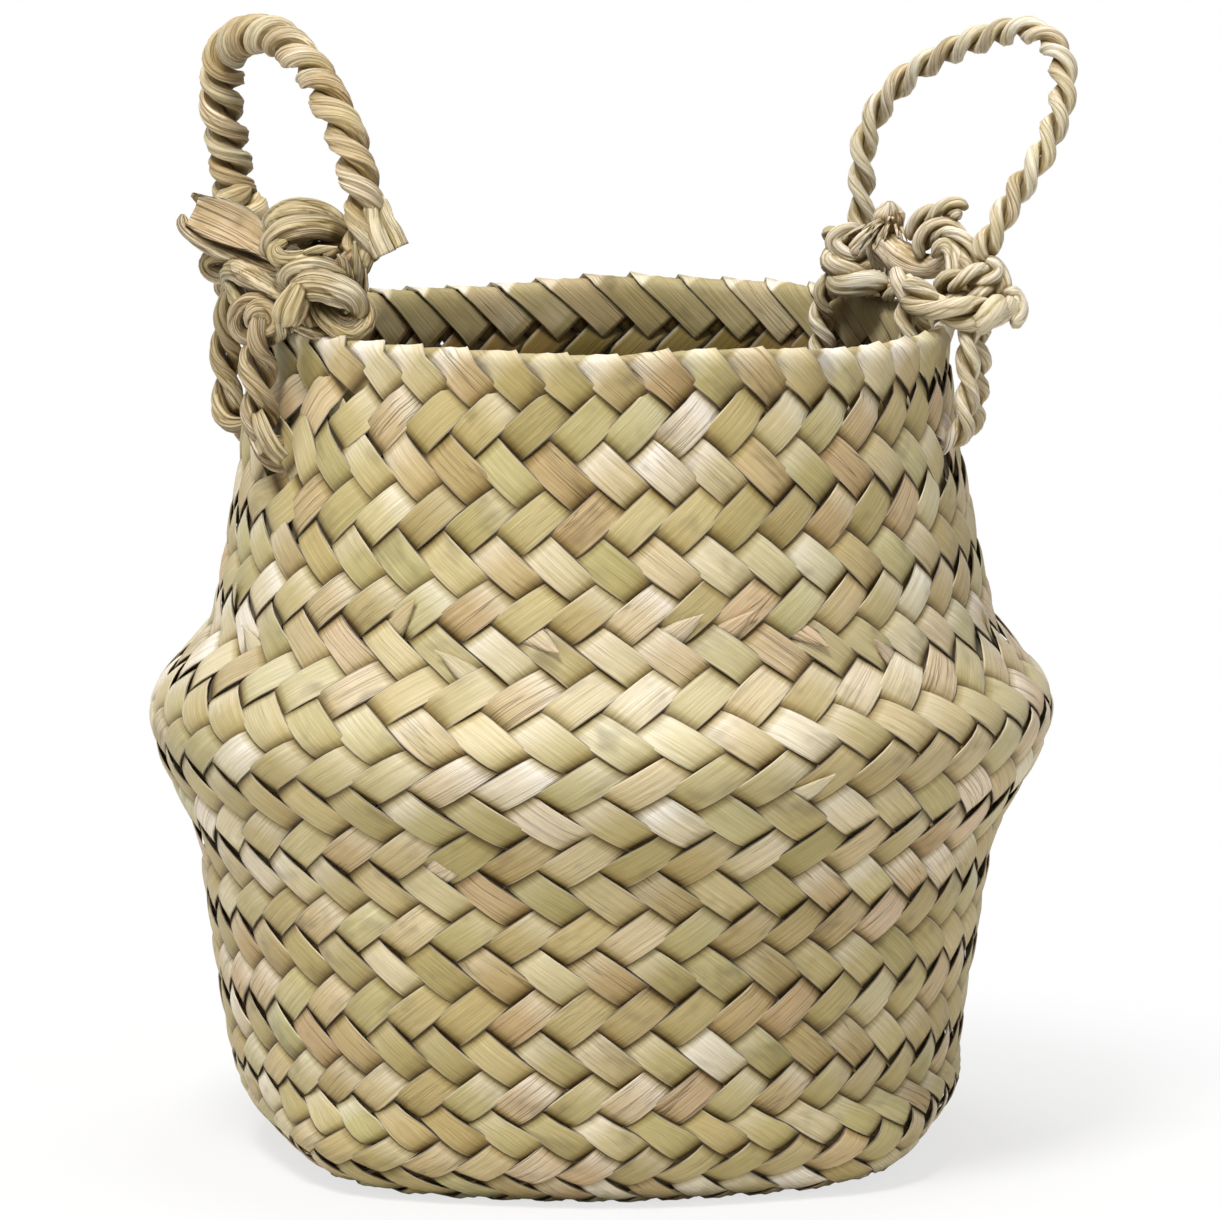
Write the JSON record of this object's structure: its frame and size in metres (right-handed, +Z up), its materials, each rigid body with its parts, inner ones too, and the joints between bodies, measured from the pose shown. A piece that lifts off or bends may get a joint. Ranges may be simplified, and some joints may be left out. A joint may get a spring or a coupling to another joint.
{
  "type": "belly basket",
  "caption": "Plaited leaf-strip basket with a folded belly, a narrower neck and two knotted rope handles that swing on their knots.",
  "frame": {"origin": "centre of the base mat's underside", "axes": "+Z up the basket's axis; -Y is the front, and the handles lie at the -X and +X sides"},
  "size_m": [0.2264, 0.22, 0.2792],
  "materials": {
    "leaf_plait": "dry flat leaf strips, satin",
    "inner_leaf": "dry flat leaf strips, matt",
    "left_rope": "twisted dry leaf, matt",
    "right_rope": "twisted dry leaf, satin"
  },
  "bodies": {
    "root": {"base_mat": "inner_leaf", "lower_wall": "leaf_plait", "belly_fold": "leaf_plait"},
    "neck": {"neck_wall": "leaf_plait", "rim_border": "leaf_plait", "left_side_knot": "left_rope", "left_front_knot": "left_rope", "left_side_lashing": "left_rope", "left_front_lashing": "left_rope", "left_bridge": "left_rope", "left_cross_rope": "left_rope", "left_tail": "left_rope", "left_leaf_end": "left_rope", "right_front_knot": "right_rope", "right_back_knot": "right_rope", "right_front_lashing": "right_rope", "right_side_lashing": "right_rope", "right_back_lashing": "right_rope", "right_bridge": "right_rope", "right_cross_rope": "right_rope", "right_frayed_end": "right_rope", "right_tail": "right_rope", "right_stub": "right_rope"},
    "left_handle": {"left_loop": "left_rope"},
    "right_handle": {"right_loop": "right_rope"}
  },
  "joints": [
    {"name": "neck_press", "type": "slide", "parent": "root", "child": "neck", "axis": [0, 0, 1], "range_m": [-0.024, 0.012], "deforming": ["belly_fold"]},
    {"name": "left_handle_swing", "type": "hinge", "parent": "neck", "child": "left_handle", "pos_m": [-0.0725, -0.016, 0.23], "axis": [0.4819, -0.8762, 0], "range_deg": [-88, 80]},
    {"name": "right_handle_swing", "type": "hinge", "parent": "neck", "child": "right_handle", "pos_m": [0.0795, 0.0185, 0.2235], "axis": [-0.4294, 0.9031, 0], "range_deg": [-88, 56]}
  ]
}
